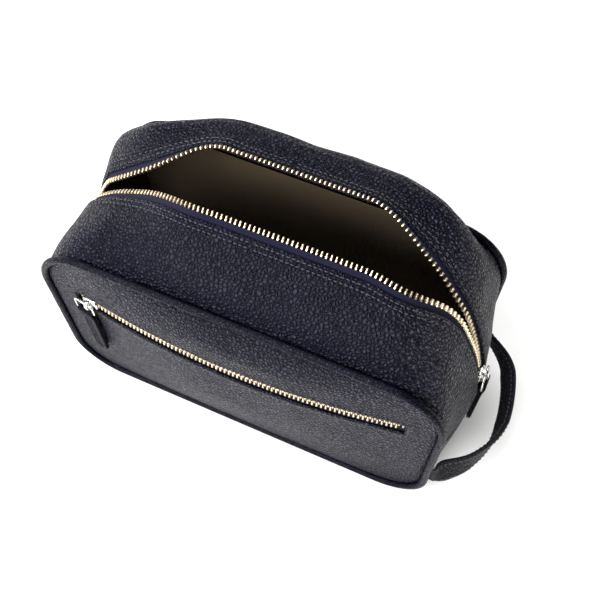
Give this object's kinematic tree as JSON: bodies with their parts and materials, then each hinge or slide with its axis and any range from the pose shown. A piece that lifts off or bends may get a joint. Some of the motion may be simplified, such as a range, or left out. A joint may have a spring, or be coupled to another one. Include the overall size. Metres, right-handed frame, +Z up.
{
  "type": "shaving kit bag",
  "caption": "Boxy leather shaving kit bag with an arched top zip that opens two stiff lips, a zipped front pocket and a side carry handle.",
  "frame": {"origin": "centre of the flat base, on the surface that the bag stands on", "axes": "+X towards the end with the handle, -Y towards the front panel with the pocket, +Z up"},
  "size_m": [0.3089, 0.135, 0.1931],
  "materials": {
    "leather": "pebbled full-grain, satin",
    "piping_leather": "smooth, satin",
    "handle_leather": "smooth, satin",
    "pull_leather": "smooth with a sewn edge",
    "zip_teeth": "pale gold nickel, polished",
    "zip_metal": "polished nickel",
    "zip_tape": "navy herringbone tape",
    "lining_cloth": "brown twill",
    "board": "fibre board"
  },
  "bodies": {
    "bag": {"back_lining": "lining_cloth", "back_panel": "leather", "back_piping": "piping_leather", "back_stiffener": "board", "back_strip_end_linings": "lining_cloth", "back_strip_folds": "leather", "back_strip_left_end": "leather", "back_strip_right_end": "leather", "back_tape_ends": "zip_tape", "back_tape_folds": "zip_tape", "back_teeth_ends": "zip_teeth", "back_teeth_folds": "zip_teeth", "base_board": "board", "base_lining": "lining_cloth", "base_panel": "leather", "front_lining": "lining_cloth", "front_panel": "leather", "front_piping": "piping_leather", "front_stiffener": "board", "front_strip_end_linings": "lining_cloth", "front_strip_folds": "leather", "front_strip_left_end": "leather", "front_strip_right_end": "leather", "front_tape_ends": "zip_tape", "front_tape_folds": "zip_tape", "front_teeth_ends": "zip_teeth", "front_teeth_folds": "zip_teeth", "handle_back_anchor": "handle_leather", "handle_front_anchor": "handle_leather", "left_end_gusset": "leather", "left_end_lining": "lining_cloth", "main_zip_bottom_stop": "zip_metal", "main_zip_top_stops": "zip_metal", "pocket_lower_tape": "zip_tape", "pocket_lower_teeth": "zip_teeth", "pocket_pouch": "lining_cloth", "pocket_upper_tape": "zip_tape", "pocket_upper_teeth": "zip_teeth", "pocket_zip_stops": "zip_metal", "right_end_gusset": "leather", "right_end_lining": "lining_cloth"},
    "front_flap": {"front_lip": "leather", "front_lip_lining": "lining_cloth", "front_lip_tape": "zip_tape", "front_lip_teeth": "zip_teeth"},
    "back_flap": {"back_lip": "leather", "back_lip_lining": "lining_cloth", "back_lip_tape": "zip_tape", "back_lip_teeth": "zip_teeth"},
    "main_slider": {"main_slider": "zip_metal"},
    "main_ring": {"main_pull_ring": "zip_metal"},
    "main_tab": {"main_pull_tab": "pull_leather"},
    "pocket_slider": {"pocket_slider": "zip_metal"},
    "pocket_ring": {"pocket_pull_ring": "zip_metal"},
    "pocket_tab": {"pocket_pull_tab": "pull_leather"},
    "handle": {"handle_strap_outer": "handle_leather", "handle_strap_inner": "handle_leather"}
  },
  "joints": [
    {"name": "front_flap_hinge", "type": "hinge", "parent": "bag", "child": "front_flap", "pos_m": [0, -0.0551, 0.149], "axis": [1, 0, 0], "range_deg": [-46, 20], "deforming": ["front_strip_folds", "front_tape_folds", "front_teeth_folds"]},
    {"name": "back_flap_hinge", "type": "hinge", "parent": "bag", "child": "back_flap", "pos_m": [0, 0.0551, 0.149], "axis": [-1, 0, 0], "range_deg": [-54, 20], "deforming": ["back_strip_folds", "back_tape_folds", "back_teeth_folds"]},
    {"name": "main_slider_travel", "type": "hinge", "parent": "bag", "child": "main_slider", "pos_m": [0.0236, 0, 0.0727], "axis": [0, -1, 0], "range_deg": [0, 24], "deforming": ["front_teeth_ends", "back_teeth_ends", "front_tape_ends", "back_tape_ends"]},
    {"name": "main_ring_swing", "type": "hinge", "parent": "main_slider", "child": "main_ring", "pos_m": [0.14128, 0, 0.09345], "axis": [1, 0, 0], "range_deg": [-30, 30]},
    {"name": "main_tab_lift", "type": "hinge", "parent": "main_ring", "child": "main_tab", "pos_m": [0.1425, 0, 0.08353], "axis": [0, -1, 0], "range_deg": [0, 18]},
    {"name": "pocket_slider_travel", "type": "hinge", "parent": "bag", "child": "pocket_slider", "pos_m": [0, 0.5207, 0.104], "axis": [0, 0, 1], "range_deg": [0, 19.4], "deforming": ["pocket_upper_teeth", "pocket_lower_teeth", "pocket_upper_tape", "pocket_lower_tape"]},
    {"name": "pocket_ring_swing", "type": "hinge", "parent": "pocket_slider", "child": "pocket_ring", "pos_m": [-0.10032, -0.06142, 0.104], "axis": [-0.1698, -0.9855, 0], "range_deg": [0, 30]},
    {"name": "pocket_tab_lift", "type": "hinge", "parent": "pocket_ring", "child": "pocket_tab", "pos_m": [-0.10426, -0.06074, 0.094], "axis": [-0.9855, 0.1698, 0], "range_deg": [0, 130]},
    {"name": "handle_swing", "type": "hinge", "parent": "bag", "child": "handle", "pos_m": [0.1335, 0, 0.05], "axis": [0, -1, 0], "range_deg": [-20, 45]}
  ]
}
